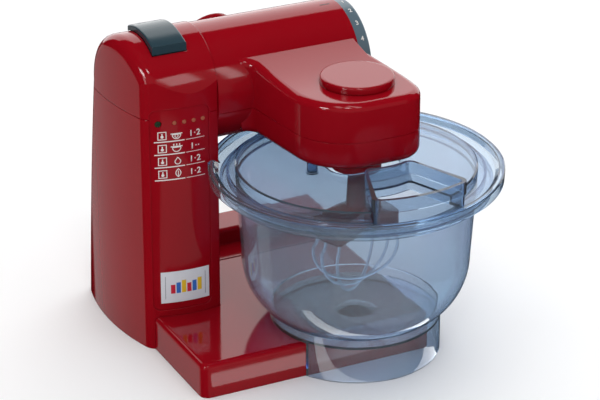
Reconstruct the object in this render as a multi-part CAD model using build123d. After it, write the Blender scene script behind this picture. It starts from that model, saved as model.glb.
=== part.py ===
from build123d import *
import math
import os

# A toy kitchen machine: a column with a swivel arm, a whisk, and a bowl with a lid.
# All sizes are in millimetres. The bowl's axis is X = 0, Y = 0, and the table is Z = 0.
# X runs along the barrel from the column to the speed dial, Y runs to the back.

# General moulding sizes and fits
wall = 2.2
part_gap = 0.3
seam_gap = 0.25
running_gap = 0.06
press_gap = 0.02
plate_thickness = 2.0
screw_radius = 1.5
screw_head_radius = 2.9
screw_head_height = 1.1
screw_head_recess = 1.3
screw_length = 9.0
boss_wall = 2.1
boss_height = 14.0

# Base plate that carries the bowl
base_left = -134.2
base_right = 46.7
base_front = -29.3
base_back = 172.0
base_height = 26.0
base_edge_radius = 4.2
base_corner_radius = 6.5
base_line_y = 117.8
base_line_depth = 0.7
base_line_width = 1.0

# Raised housing at the back of the base, which holds the cells
housing_front = 141.7
housing_height = 38.5
housing_edge_radius = 3.0
cell_radius = 12.9
cell_length = 48.2
cell_nub_radius = 3.4
cell_nub_height = 1.6
cell_count = 2
cell_row_left = -62.0
contact_thickness = 0.6
contact_half_width = 9.0
contact_bow = 3.0
rib_thickness = 2.0
door_slot = 0.4

# Barrel axis, along X
axis_y = 91.4
axis_z = 187.0

# Column and its round head
column_right = -83.7
column_left = -146.6
column_left_front = -137.5
column_left_back = -137.0
column_left_middle_y = 110.0
column_front_corner_y = 56.0
column_front_middle_x = -103.0
column_front_middle_y = 49.2
column_front_right_y = 51.2
column_foot_back = 170.0
column_edge_radius = 10.0
head_radius = 43.4
head_seam_z = 180.0
lip_height = 3.0
lip_thickness = 1.4

# Front panel, its lamps and the board behind it
panel_left = -134.4
panel_right = -91.2
panel_bottom = 31.0
panel_top = 187.2
panel_thickness = 1.4
panel_recess = 0.5
panel_corner_radius = 5.0
panel_backing = 1.8
lamp_z = 176.6
lamp_radius = 1.5
power_lamp_x = -128.5
power_lamp_radius = 2.3
indicator_first_x = -117.1
indicator_pitch = 7.1
indicator_count = 4
lamp_proud = 0.7
board_thickness = 1.6
board_height = 12.0
board_behind = 6.0
board_post_radius = 1.8
board_post_drop = 4.0

# Release button, its springs and the latch lever
button_left = -126.0
button_right = -100.0
button_back_y = 110.0
button_front_y = 66.5
button_thickness = 4.2
button_lip = 2.6
button_edge_radius = 1.2
button_skirt_depth = 5.0
button_skirt_inset = 1.4
button_wall = 1.8
button_stem_radius = 1.8
button_stem_y = 73.0
spring_outer_radius = 3.2
spring_inner_radius = 2.4
spring_post_height = 5.0
spring_offset = 6.2
shelf_z = 212.2
shelf_front_y = 66.0
shelf_back_y = 97.0
shelf_thickness = 2.0
latch_pivot_y = 86.0
latch_pivot_z = 219.0
latch_pin_radius = 1.5
latch_boss_radius = 3.4
latch_thickness = 4.0
latch_arm_height = 3.4
latch_nose_y = 102.5
latch_nose_width = 4.0
latch_ear_thickness = 1.6

# Barrel, and the journal that it swings on
barrel_radius = 42.4
barrel_right = 29.0
journal_radius = 15.0
journal_bore_radius = 10.0
journal_flange_radius = 24.0
journal_flange_thickness = 3.0
journal_end_length = 5.0
bush_wall = 2.0
bush_flange_radius = 21.0
bush_flange_thickness = 2.0
ratchet_radius = 24.0
ratchet_thickness = 4.0
ratchet_notch_depth = 3.0
ratchet_notch_width = 7.0
arm_lift_degrees = 70.0

# Arm that reaches out over the bowl
arm_left = -50.2
arm_right = 37.0
arm_front = -39.6
arm_left_corner = 41.9
arm_left_degrees = 7.0
arm_right_corner = 20.5
arm_bottom = 156.0
arm_top = 205.4
arm_seam_z = 177.0
arm_edge_radius = 5.6
arm_bottom_radius = 7.0
arm_flare_start = 46.5
arm_flare_radius = 10.0
arm_flare_rise = 9.4
arm_right_middle = 34.6
arm_right_middle_y = 20.0
arm_right_back = 26.5
arm_right_back_y = 50.0
arm_blend_start = -3.0
arm_blend_radius = 256.0
arm_blend_end = 61.0
arm_wall = 2.0
collar_radius = 17.8
collar_bottom = 141.6
collar_wall = 2.0
collar_groove_depth = 1.0
collar_plate_inset = 0.5

# Covers over the drive points on the arm
drive_cover_radius = 26.3
drive_cover_height = 5.6
drive_cover_edge = 1.6
drive_cover_plug_radius = 20.0
rear_cover_x = -56.0
rear_cover_radius = 16.5
rear_cover_degrees = 55.0
rear_cover_proud = 1.4

# Gear train in the arm
gear_module = 1.0
pinion_teeth = 10
idler_big_teeth = 36
idler_small_teeth = 12
drive_teeth = 44
gear_width = 5.0
gear_backlash = 0.3
drive_gear_z = 162.0
gear_step = 1.0
idler_axle_radius = 1.5
idler_degrees = 100.0
motor_degrees = 150.0
shaft_radius = 4.0
shaft_bottom = 146.0
motor_radius = 11.5
motor_height = 23.0
motor_nose_radius = 3.0
motor_nose_height = 1.2
motor_shaft_radius = 1.0
motor_tab_place = 5.0
gear_plate_thickness = 2.0
gear_plate_gap = 1.5
post_radius = 3.2
post_hole_depth = 8.0
post_plate_margin = 2.2
bush_seat_wall = 2.5

# Whisk
shank_top_radius = 5.8
shank_bottom_radius = 7.4
shank_top = 157.0
shank_taper_top = 141.0
carrier_top = 110.0
carrier_bottom = 91.0
carrier_end_height = 12.0
carrier_hub_radius = 9.0
carrier_corner_radius = 3.8
carrier_degrees = 13.5
carrier_edge_radius = 2.6
wire_radius = 1.1
wire_reach = 28.0
wire_bulge = 3.4
wire_bulge_z = 79.0
wire_socket_depth = 5.0
wire_straight = 2.0
wire_bottom = 46.4
wire_pitch_degrees = 25.0
wire_count = 3
wire_crossing_step = 3.4

# Speed dial and its switch
dial_left = 29.4
dial_right = 38.8
dial_radius = 41.4
dial_edge_radius = 1.8
dial_recess_depth = 4.5
dial_recess_radius = 31.0
dial_grip_half_width = 6.5
dial_wall = 2.0
dial_shaft_radius = 3.0
dial_shaft_end = 12.0
switch_size = 18.0
switch_depth = 8.0

# Bowl
bowl_wall = 2.0
bowl_rim_radius = 96.8
bowl_rim_z = 133.7
bowl_rim_thickness = 2.0
bowl_rim_lip = 3.0
bowl_rim_width = 11.2
bowl_top_radius = bowl_rim_radius - bowl_rim_width
bowl_side_lean = 3.6
bowl_side_radius = bowl_top_radius - bowl_side_lean
bowl_side_z = 74.0
bowl_curve_radius = 50.0
bowl_floor_thickness = 2.0
bowl_foot_radius = 61.75
bowl_notch_gap = 0.4
bowl_dome_radius = 15.0
bowl_dome_height = 5.0

# Lid
lid_overhang = 8.2
lid_radius = bowl_rim_radius + lid_overhang
lid_rim_top = 143.2
lid_rim_width = 4.6
lid_skirt_bottom = 135.0
lid_wall = 1.8
lid_channel_z = 140.2
lid_seat_inset = 4.8
lid_seat_radius = bowl_rim_radius - lid_seat_inset
lid_seat_width = 6.2
lid_channel_width = 6.0
lid_channel_outer = lid_seat_radius + lid_channel_width
lid_deck_radius = lid_seat_radius - lid_seat_width
lid_deck_z = 145.2
lid_clearance = 1.0
slot_left = -25.5
slot_right = 28.5
slot_front = -23.5
slot_corner = 15.0
slot_back = 120.0
slot_lip_height = 1.6
slot_lip_width = 1.6
chute_inner_radius = 48.0
chute_outer_radius = 99.5
chute_middle_degrees = -89.0
chute_half_degrees = 21.5
chute_top = 160.0
chute_corner_radius = 5.0
chute_band_z = 150.5
chute_band_proud = 1.0
peg_x = -37.0
peg_y = -4.5
peg_radius = 3.7
peg_collar_radius = 4.6
peg_collar_height = 1.0
peg_height = 9.8


# Plain forms and places

def upright(radius, low, high, x=0.0, y=0.0):
    rod = Cylinder(radius, high - low, align=(Align.CENTER, Align.CENTER, Align.MIN))
    return Pos(x, y, low) * rod


def along_x(radius, left, right, y=axis_y, z=axis_z):
    rod = Cylinder(radius, right - left, align=(Align.CENTER, Align.CENTER, Align.MIN))
    return Pos(left, y, z) * Rot(0, 90, 0) * rod


def along_y(radius, front, back, x, z):
    rod = Cylinder(radius, back - front, align=(Align.CENTER, Align.CENTER, Align.MIN))
    return Pos(x, front, z) * Rot(-90, 0, 0) * rod


def block(low, high):
    size = [b - a for a, b in zip(low, high)]
    return Pos(*low) * Box(*size, align=(Align.MIN, Align.MIN, Align.MIN))


def layer(low, high):
    reach = 400.0
    return block((-reach, -reach, low), (reach, reach, high))


def polar(radius, degrees, x=0.0, y=0.0):
    angle = math.radians(degrees)
    return (x + radius * math.cos(angle), y + radius * math.sin(angle))


def turned(points):
    """A solid of revolution about the bowl's axis, from radius and height pairs."""
    with BuildSketch(Plane.XZ) as section:
        with BuildLine():
            Polyline(*points, close=True)
        make_face()
    return revolve(section.sketch, Axis.Z)


# Column form: a side profile crossed with a bowed plan

def column_side(inset):
    front = axis_y - head_radius + inset
    back = axis_y + head_radius - inset
    with BuildSketch(Plane.YZ) as side:
        with BuildLine():
            Line((front, 0), (front, axis_z))
            ThreePointArc((front, axis_z), (axis_y, axis_z + head_radius - inset), (back, axis_z))
            Polyline((back, axis_z), (column_foot_back - inset, 0), (front, 0))
        make_face()
    return side.sketch


def column_plan(inset):
    back = column_foot_back + 5
    left_front = (column_left_front + inset, column_front_corner_y + inset)
    left_back = (column_left_back + inset, back)
    front_middle = (column_front_middle_x, column_front_middle_y + inset)
    right_front = (column_right - inset, column_front_right_y + inset)
    with BuildSketch() as plan:
        with BuildLine():
            ThreePointArc(left_front, front_middle, right_front)
            Polyline(right_front, (column_right - inset, back), left_back)
            ThreePointArc(left_back, (column_left + inset, column_left_middle_y), left_front)
        make_face()
    return plan.sketch


def column_form(inset):
    tall = extrude(column_plan(inset), axis_z + head_radius)
    length = column_right - column_left + 10
    wide = Pos(column_left - 5, 0, 0) * extrude(column_side(inset), length, dir=(1, 0, 0))
    solid = tall & wide
    left_edges = []
    for edge in solid.edges():
        middle = edge.position_at(0.5)
        if middle.X < column_left_front + inset + 2 and middle.Z > 5:
            left_edges.append(edge)
    return fillet(left_edges, column_edge_radius - inset)


def behind_column(gap):
    """The strip behind the column's foot, which the base plate leaves free."""
    return block((column_left - 5, axis_y, -1), (column_right + gap, base_back + 5, housing_height + 5))


def front_y(x):
    """Where the column's bowed front lies at a given X."""
    x1, y1 = column_left_front, column_front_corner_y
    x2, y2 = column_front_middle_x, column_front_middle_y
    x3, y3 = column_right, column_front_right_y
    d = 2 * (x1 * (y2 - y3) + x2 * (y3 - y1) + x3 * (y1 - y2))
    s1, s2, s3 = x1 ** 2 + y1 ** 2, x2 ** 2 + y2 ** 2, x3 ** 2 + y3 ** 2
    centre_x = (s1 * (y2 - y3) + s2 * (y3 - y1) + s3 * (y1 - y2)) / d
    centre_y = (s1 * (x3 - x2) + s2 * (x1 - x3) + s3 * (x2 - x1)) / d
    radius = math.hypot(x1 - centre_x, y1 - centre_y)
    return centre_y - math.sqrt(radius ** 2 - (x - centre_x) ** 2)


def front_sheet(near, far, grow):
    """A bowed sheet between two depths behind the front, grown past the panel's outline."""
    band = extrude(Pos(0, near, 0) * column_plan(0) - Pos(0, far, 0) * column_plan(0), panel_top + 10)
    low = (panel_left - grow, axis_y - head_radius - 5, panel_bottom - grow)
    high = (panel_right + grow, axis_y, panel_top + grow)
    window = block(low, high)
    window = fillet(window.edges().filter_by(Axis.Y), panel_corner_radius + grow)
    return band & window


# Base form and the cover below both base and column

def base_form(inset):
    width = base_right - base_left - 2 * inset
    depth = base_back - base_front - 2 * inset
    outline = Rectangle(width, depth, align=(Align.MIN, Align.MIN))
    outline = Pos(base_left + inset, base_front + inset) * outline
    outline = fillet(outline.vertices().sort_by(Axis.Y)[0:2], base_corner_radius - inset)
    plate = extrude(outline, base_height - inset)
    plate = fillet(plate.faces().sort_by(Axis.Z)[-1].edges(), base_edge_radius - inset)
    low = (column_right - 20, housing_front + inset, 0)
    high = (base_right - inset, base_back - inset, housing_height - inset)
    housing = block(low, high)
    housing = fillet(housing.faces().sort_by(Axis.Z)[-1].edges(), housing_edge_radius - inset)
    return plate + housing


def cover_form(inset, thickness):
    grow = part_gap + inset
    base_part = base_form(inset) - column_form(-grow) - behind_column(grow)
    narrow = inset - wall
    front_bridge = block((-122 + narrow, 40, 0), (-100 - narrow, 62, thickness))
    side_bridge = block((-92, 84 + narrow, 0), (-76, 128 - narrow, thickness))
    whole = base_part + column_form(inset) + front_bridge + side_bridge
    return whole & layer(0, thickness)


base_screw_places = [(-122, -17), (34, -17), (36, 100), (-72, 100), (-60, 40)]
column_screw_places = [(-141.4, 112), (-89.2, 72)]
door_screw_x = cell_row_left - 16.0
screw_places = base_screw_places + column_screw_places

cell_y = base_back - wall - part_gap - cell_radius
cell_z = plate_thickness + door_slot + cell_radius
cell_row_right = cell_row_left + cell_count * (cell_length + cell_nub_height)
door_front = cell_y - cell_radius - 1.0
door_left = door_screw_x - 7.0
door_right = cell_row_right + contact_bow + 2.0


def boss_radius():
    return screw_radius + boss_wall


def screw_hole(low, high, x, y):
    return upright(screw_radius + 0.05, low, high, x, y)


def screw_boss(x, y, high):
    return upright(boss_radius(), plate_thickness + part_gap, high, x, y)


def screw_pilot(x, y):
    return screw_hole(-1, plate_thickness + screw_length + 1, x, y)


def cover_hole(x, y):
    return upright(screw_radius + 0.2, -1, plate_thickness + 1, x, y) \
        + upright(screw_head_radius + 0.2, -1, screw_head_recess, x, y)


def cover_screw(x, y):
    head = upright(screw_head_radius, screw_head_recess - screw_head_height, screw_head_recess, x, y)
    return head + upright(screw_radius, screw_head_recess, screw_length, x, y)


def make_base_plate():
    cut = part_gap
    shell = base_form(0) - column_form(-cut) - behind_column(cut)
    hollow = base_form(wall) - column_form(-cut - wall) - behind_column(cut + wall)
    shell -= hollow
    for x, y in base_screw_places + [(door_screw_x, cell_y)]:
        shell += screw_boss(x, y, base_height - wall / 2)
    for x in (cell_row_left - contact_thickness - part_gap - rib_thickness,
              cell_row_right + contact_bow + contact_thickness + part_gap):
        low = (x, housing_front + wall / 2, plate_thickness + part_gap)
        high = (x + rib_thickness, base_back - wall / 2, housing_height - wall / 2)
        shell += block(low, high)
    shell -= cover_form(wall, plate_thickness + part_gap)
    for x, y in base_screw_places + [(door_screw_x, cell_y)]:
        shell -= screw_pilot(x, y)
    line = block((column_left, base_line_y, base_height - base_line_depth),
                 (base_right + 1, base_line_y + base_line_width, base_height + 1))
    return shell - line


def door_zone(gap):
    low = (door_left - gap, door_front - gap, -1)
    high = (door_right + gap, base_back + 1, plate_thickness + 1)
    return block(low, high)


def make_bottom_cover():
    cover = cover_form(wall + part_gap, plate_thickness) - door_zone(part_gap)
    for x, y in screw_places:
        cover -= cover_hole(x, y)
    return cover


def make_battery_door():
    door = cover_form(wall + part_gap, plate_thickness) & door_zone(0)
    return door - cover_hole(door_screw_x, cell_y)


def make_cells():
    cells = []
    for i in range(cell_count):
        left = cell_row_left + i * (cell_length + cell_nub_height)
        body = along_x(cell_radius, left, left + cell_length, cell_y, cell_z)
        body = chamfer(body.edges(), 0.6)
        cells.append(body + along_x(cell_nub_radius, left + cell_length - 1, left + cell_length
                                    + cell_nub_height - 0.05, cell_y, cell_z))
    return Compound(children=cells)


def make_contacts():
    low = (cell_row_left - part_gap - contact_thickness, cell_y - contact_half_width, plate_thickness + 1)
    high = (cell_row_left - part_gap, cell_y + contact_half_width, 2 * cell_z - plate_thickness)
    flat = block(low, high)
    left = cell_row_right + part_gap / 2
    right = left + contact_bow
    with BuildSketch(Plane.XZ) as leaf:
        with BuildLine():
            ThreePointArc((right, cell_z - 10), (left, cell_z), (right, cell_z + 10))
            Line((right, cell_z + 10), (right + contact_thickness, cell_z + 10))
            ThreePointArc((right + contact_thickness, cell_z + 10), (left + contact_thickness, cell_z),
                          (right + contact_thickness, cell_z - 10))
            Line((right + contact_thickness, cell_z - 10), (right, cell_z - 10))
        make_face()
    bowed = extrude(leaf.sketch, 2 * contact_half_width, dir=(0, 1, 0))
    bowed = Pos(0, cell_y - contact_half_width, 0) * bowed
    return Compound(children=[flat, bowed])


def make_cover_screws():
    return Compound(children=[cover_screw(x, y) for x, y in screw_places + [(door_screw_x, cell_y)]])


# Column shell, head shell and the front panel

def panel_depths():
    seat = panel_recess + panel_thickness
    return seat, seat + panel_backing


def column_walls():
    seat, back = panel_depths()
    shell = column_form(0) - column_form(wall)
    shell += front_sheet(wall - 0.2, back, 3.0)
    return shell - front_sheet(-5, seat, 0)


def lamp_places():
    places = [(power_lamp_x, power_lamp_radius)]
    for i in range(indicator_count):
        places.append((indicator_first_x + i * indicator_pitch, lamp_radius))
    return places


def lamp_holes(gap):
    seat, back = panel_depths()
    holes = []
    for x, radius in lamp_places():
        holes.append(along_y(radius + gap, front_y(x) - 2, front_y(x) + back + 2, x, lamp_z))
    return holes


board_y = column_front_middle_y + board_behind + panel_depths()[1]


def bush_outer():
    return journal_radius + running_gap + bush_wall


def journal_hole():
    return along_x(bush_outer(), column_right - 10, column_right + 5)


def make_column_shell(walls):
    shell = walls & layer(0, head_seam_z)
    ring_low = (column_form(wall - 0.1) - column_form(wall + lip_thickness)) \
        & layer(head_seam_z - lip_height, head_seam_z)
    ring_high = (column_form(wall + 0.15) - column_form(wall + lip_thickness)) \
        & layer(head_seam_z - 0.1, head_seam_z + lip_height)
    keep = block((column_left - 1, column_front_corner_y + 8, 0), (column_right - 22, base_back, axis_z + 50))
    shell += (ring_low + ring_high) & keep
    for x, y in column_screw_places:
        shell += screw_boss(x, y, boss_height)
    for x in (panel_left + 11, panel_right - 8):
        root = front_y(x) + panel_depths()[1] - 0.5
        shell += along_y(board_post_radius, root, board_y, x, lamp_z - board_post_drop)
    shell -= cover_form(wall, plate_thickness + part_gap)
    for x, y in column_screw_places:
        shell -= screw_pilot(x, y)
    for hole in lamp_holes(0.15):
        shell -= hole
    return shell - journal_hole()


def button_body(radius_low, radius_high, gap):
    """A curved slab over the head's round top, within the button's outline."""
    low = (button_left - gap, button_front_y - gap, axis_z)
    high = (button_right + gap, button_back_y + gap, axis_z + 100)
    band = along_x(radius_high, button_left - 5, button_right + 5) - along_x(radius_low, button_left - 5,
                                                                             button_right + 5)
    return band & block(low, high)


def latch_x():
    return (button_left + button_right) / 2


def make_head_shell(walls):
    shell = walls & layer(head_seam_z + seam_gap, axis_z + head_radius + 5)
    low = (column_left, shelf_front_y, shelf_z)
    high = (column_right - wall / 2, shelf_back_y, shelf_z + shelf_thickness)
    shelf = block(low, high) & column_form(wall / 2)
    shell += shelf
    middle = latch_x()
    side = latch_thickness / 2 + part_gap
    for x in (middle - side - latch_ear_thickness, middle + side):
        ear = block((x, latch_pivot_y - latch_boss_radius, shelf_z + shelf_thickness - 0.2),
                    (x + latch_ear_thickness, latch_pivot_y + latch_boss_radius, latch_pivot_z))
        shell += ear + along_x(latch_boss_radius, x, x + latch_ear_thickness, latch_pivot_y, latch_pivot_z)
    shell -= along_x(latch_pin_radius + press_gap, middle - 10, middle + 10, latch_pivot_y, latch_pivot_z)
    slot_low = (middle - side, shelf_front_y + 2, shelf_z - 1)
    slot_high = (middle + side, latch_pivot_y - 4, shelf_z + 3)
    shell -= block(slot_low, slot_high)
    for x in (middle - spring_offset, middle + spring_offset):
        shell += upright(spring_inner_radius - 0.3, shelf_z + shelf_thickness - 0.2,
                         shelf_z + shelf_thickness + spring_post_height, x, button_stem_y)
    opening = block((button_left - part_gap, button_front_y - part_gap, shelf_z + shelf_thickness + 4),
                    (button_right + part_gap, button_back_y + part_gap, axis_z + 100))
    walls_only = shell & opening
    return shell - (walls_only - column_form(wall + 0.4)) - journal_hole()


def make_front_panel():
    panel = front_sheet(panel_recess, panel_recess + panel_thickness, -part_gap / 2)
    for hole in lamp_holes(0.1):
        panel -= hole
    return panel


def make_lamp(x, radius):
    tip = front_y(x) + panel_recess - lamp_proud
    pipe = along_y(radius, tip, board_y - 0.1, x, lamp_z)
    return fillet(pipe.edges().sort_by(Axis.Y)[0], radius * 0.5)


def make_power_lamp():
    return make_lamp(power_lamp_x, power_lamp_radius)


def make_indicator_lamps():
    return Compound(children=[make_lamp(x, r) for x, r in lamp_places()[1:]])


def make_circuit_board():
    low = (panel_left + 1.5, board_y, lamp_z - board_height / 2)
    high = (panel_right - 1.5, board_y + board_thickness, lamp_z + board_height / 2)
    high = (high[0], high[1], min(high[2], head_seam_z + 2))
    chip_low = (-118, board_y + board_thickness, lamp_z - 4)
    chip_high = (-108, board_y + board_thickness + 3, lamp_z + 2)
    return block(low, high) + block(chip_low, chip_high)


# Release button and latch

def button_height(y):
    """Height of the button's top surface, low at the back and up to the lip at the front."""
    rest = math.sqrt((head_radius + button_thickness) ** 2 - (y - axis_y) ** 2)
    return axis_z + rest


def button_frame(inset, low):
    """An upright block within the button's outline."""
    near = (button_left + inset, button_front_y + inset, low)
    far = (button_right - inset, button_back_y - inset, axis_z + 100)
    return block(near, far)


def make_release_button():
    low_r = head_radius + part_gap
    top = button_body(low_r, head_radius + button_thickness, 0)
    lip_y = button_front_y
    lip_z = button_height(lip_y) + button_lip
    front_low = axis_z + math.sqrt(low_r ** 2 - (lip_y - axis_y) ** 2)
    back_y = axis_y - 4
    with BuildSketch(Plane.YZ) as lip:
        with BuildLine():
            Polyline((back_y, button_height(back_y)), (back_y, button_height(back_y) - 2),
                     (lip_y + 4, front_low + 1), (lip_y, front_low + 1),
                     (lip_y, lip_z - 1), (lip_y + 2.5, lip_z))
            ThreePointArc((lip_y + 2.5, lip_z), (lip_y + 11, button_height(lip_y + 11) + 0.2),
                          (back_y, button_height(back_y)))
        make_face()
    width = button_right - button_left
    top += Pos(button_left, 0, 0) * extrude(lip.sketch, width, dir=(1, 0, 0))
    top -= along_x(low_r, button_left - 5, button_right + 5)
    outer = [e for e in top.edges() if e.position_at(0.5).Z > axis_z + low_r * 0.8 + 2]
    high_edges = []
    for edge in outer:
        middle = edge.position_at(0.5)
        radius = math.hypot(middle.Y - axis_y, middle.Z - axis_z)
        at_side = min(abs(middle.X - button_left), abs(middle.X - button_right)) < 0.1
        if at_side and radius > head_radius + 3:
            high_edges.append(edge)
    top = fillet(high_edges, button_edge_radius)
    skirt_z = head_top(button_front_y) - button_skirt_depth
    outside = button_frame(button_skirt_inset, skirt_z) & along_x(low_r + 1, button_left, button_right)
    inside = button_frame(button_skirt_inset + button_wall, axis_z) & along_x(low_r, button_left, button_right)
    top += outside - inside
    stem_low = latch_pivot_z + latch_arm_height / 2 + part_gap
    stem = upright(button_stem_radius, stem_low, axis_z + head_radius - 4, latch_x(), button_stem_y)
    return top + stem


def head_top(y):
    return axis_z + math.sqrt(head_radius ** 2 - (y - axis_y) ** 2)


def make_button_springs():
    low = shelf_z + shelf_thickness + 0.05
    front = button_stem_y - spring_outer_radius
    high = axis_z + math.sqrt((head_radius + part_gap) ** 2 - (front - axis_y) ** 2)
    springs = []
    for x in (latch_x() - spring_offset, latch_x() + spring_offset):
        springs.append(upright(spring_outer_radius, low, high - 0.1, x, button_stem_y)
                       - upright(spring_inner_radius, low - 1, high, x, button_stem_y))
    return Compound(children=springs)


def make_latch_lever():
    middle = latch_x()
    half = latch_arm_height / 2
    low_z, high_z = latch_pivot_z - half, latch_pivot_z + half
    tip_radius = ratchet_radius + part_gap
    tip_y = latch_nose_y - latch_nose_width
    tip_z = axis_z + math.sqrt(tip_radius ** 2 - (tip_y - axis_y) ** 2)
    with BuildSketch(Plane.YZ) as lever:
        with BuildLine():
            Polyline((button_stem_y - 3, low_z), (tip_y, low_z), (tip_y, tip_z), (latch_nose_y - 1, tip_z),
                     (latch_nose_y, tip_z + 2), (latch_nose_y, high_z), (button_stem_y - 3, high_z),
                     close=True)
        make_face()
    start = middle - latch_thickness / 2
    arm = Pos(start, 0, 0) * extrude(lever.sketch, latch_thickness, dir=(1, 0, 0))
    arm += along_x(latch_boss_radius, start, start + latch_thickness, latch_pivot_y, latch_pivot_z)
    return arm - along_x(latch_pin_radius + running_gap, start - 1, start + latch_thickness + 1,
                         latch_pivot_y, latch_pivot_z)


def make_latch_pin():
    reach = latch_thickness / 2 + part_gap + latch_ear_thickness
    return along_x(latch_pin_radius, latch_x() - reach, latch_x() + reach, latch_pivot_y, latch_pivot_z)


# Swivel joint between column and arm

barrel_left = column_right + part_gap
ratchet_left = latch_x() - ratchet_thickness / 2
journal_left = ratchet_left - journal_end_length


def make_pivot_bush():
    inner = journal_radius + running_gap
    tube = along_x(bush_outer(), column_right - wall - bush_flange_thickness, column_right)
    flange = along_x(bush_flange_radius, column_right - wall - bush_flange_thickness, column_right - wall)
    return tube + flange - along_x(inner, column_right - 20, column_right + 5)


def make_arm_journal():
    flange_left = barrel_left + arm_wall
    tube = along_x(journal_radius, journal_left, flange_left + journal_flange_thickness)
    flange = along_x(journal_flange_radius, flange_left, flange_left + journal_flange_thickness)
    return tube + flange - along_x(journal_bore_radius, journal_left - 1, flange_left + 20)


def make_ratchet_disc():
    disc = along_x(ratchet_radius, ratchet_left, ratchet_left + ratchet_thickness)
    disc -= along_x(journal_radius + press_gap, ratchet_left - 1, ratchet_left + ratchet_thickness + 1)
    nose_middle = latch_nose_y - latch_nose_width / 2
    rest = math.degrees(math.acos((nose_middle - axis_y) / ratchet_radius))
    for degrees in (rest, rest + arm_lift_degrees):
        notch = Box(ratchet_thickness + 2, 2 * ratchet_notch_depth, ratchet_notch_width)
        y, z = polar(ratchet_radius, degrees, axis_y, axis_z)
        disc -= Pos(ratchet_left + ratchet_thickness / 2, y, z) * Rot(degrees, 0, 0) * notch
    return disc


# Arm shells

def arm_plan(inset):
    left, right, front = arm_left + inset, arm_right - inset, arm_front + inset
    big, small = arm_left_corner - inset, arm_right_corner - inset
    flare = arm_flare_radius + inset
    slant = math.radians(arm_left_degrees)
    along = Vector(-math.sin(slant), math.cos(slant))
    outward = Vector(-math.cos(slant), -math.sin(slant))
    corner = Vector(left + big, front + big)
    wall_start = corner + outward * big
    wall_end = wall_start + along * ((arm_flare_start - wall_start.Y) / along.Y)

    def flared(rise):
        return wall_end + along * rise + outward * (flare - math.sqrt(flare ** 2 - rise ** 2))

    small_x, small_y = right - small, front + small
    k = math.sqrt(0.5)
    back = (arm_right_back - inset, arm_right_back_y)
    root = flared(arm_flare_rise)
    with BuildSketch() as plan:
        with BuildLine():
            ThreePointArc(root, flared(arm_flare_rise / 2), wall_end)
            Line(wall_end, wall_start)
            ThreePointArc(wall_start, corner + Vector(-k, -k) * big, (corner.X, front))
            Line((corner.X, front), (small_x, front))
            ThreePointArc((small_x, front), (small_x + small * k, small_y - small * k), (right, small_y))
            ThreePointArc((right, small_y), (arm_right_middle - inset, arm_right_middle_y), back)
            Polyline(back, (back[0], axis_y), (root.X, axis_y), root)
        make_face()
    return plan.sketch


def arm_side(inset):
    bottom, top = arm_bottom + inset, arm_top - inset
    blend = arm_blend_radius + inset
    rise = arm_blend_end - arm_blend_start
    front = arm_front - 5

    def blend_z(run):
        return top + blend - math.sqrt(blend ** 2 - run ** 2)

    end = (arm_blend_end, blend_z(rise))
    with BuildSketch(Plane.YZ) as side:
        with BuildLine():
            Polyline((front, top), (front, bottom), (axis_y, bottom), (axis_y, end[1]), end)
            ThreePointArc(end, (arm_blend_start + rise / 2, blend_z(rise / 2)), (arm_blend_start, top))
            Line((arm_blend_start, top), (front, top))
        make_face()
    return side.sketch


def arm_rim_edges(solid, inset, upper):
    """The edges round the arm's top or bottom, without those inside the barrel."""
    found = []
    for edge in solid.edges():
        middle = edge.position_at(0.5)
        crosswise = abs(edge.tangent_at(0.5).X) > 0.999 and middle.Y > arm_front + 10
        if middle.Y > axis_y - 1 or crosswise:
            continue
        if upper and middle.Z > arm_top - inset - 0.5 and middle.Y < arm_flare_start + arm_flare_rise - 0.5:
            found.append(edge)
        if not upper and middle.Z < arm_bottom + inset + 0.5:
            found.append(edge)
    return found


def arm_form(inset):
    tall = Pos(0, 0, arm_bottom - 10) * extrude(arm_plan(inset), 80)
    wide = Pos(column_right, 0, 0) * extrude(arm_side(inset), arm_right - column_right + 10, dir=(1, 0, 0))
    solid = tall & wide
    solid = fillet(arm_rim_edges(solid, inset, True), arm_edge_radius - inset)
    solid = fillet(arm_rim_edges(solid, inset, False), arm_bottom_radius - inset)
    return solid + along_x(barrel_radius - inset, barrel_left + inset, barrel_right - inset)


shank_bore = shank_top_radius + part_gap
lower_bush_low = max(arm_bottom + arm_wall, shank_top + part_gap)
lower_bush_high = drive_gear_z - part_gap
bush_radius = shaft_radius + running_gap + bush_wall
gear_plate_low = drive_gear_z + 2 * gear_width + gear_step + gear_plate_gap
gear_plate_high = gear_plate_low + gear_plate_thickness
post_places = [(-37.0, -6.0), (28.0, 4.0), (19.0, 47.0), (-45.0, 52.0)]


def gear_radius(teeth):
    return gear_module * teeth / 2


idler_x, idler_y = polar(gear_radius(drive_teeth) + gear_radius(idler_small_teeth), idler_degrees)
motor_x, motor_y = polar(gear_radius(idler_big_teeth) + gear_radius(pinion_teeth), motor_degrees,
                         idler_x, idler_y)


def rear_cover_place():
    """A frame on the barrel's top, tipped back, for the rear drive cover."""
    return Pos(rear_cover_x, axis_y, axis_z) * Rot(-rear_cover_degrees, 0, 0)


def collar_ring(gap, low, high):
    ring = upright(collar_radius + gap, low, high)
    return ring - upright(collar_radius - collar_wall - gap, low, high)


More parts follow.
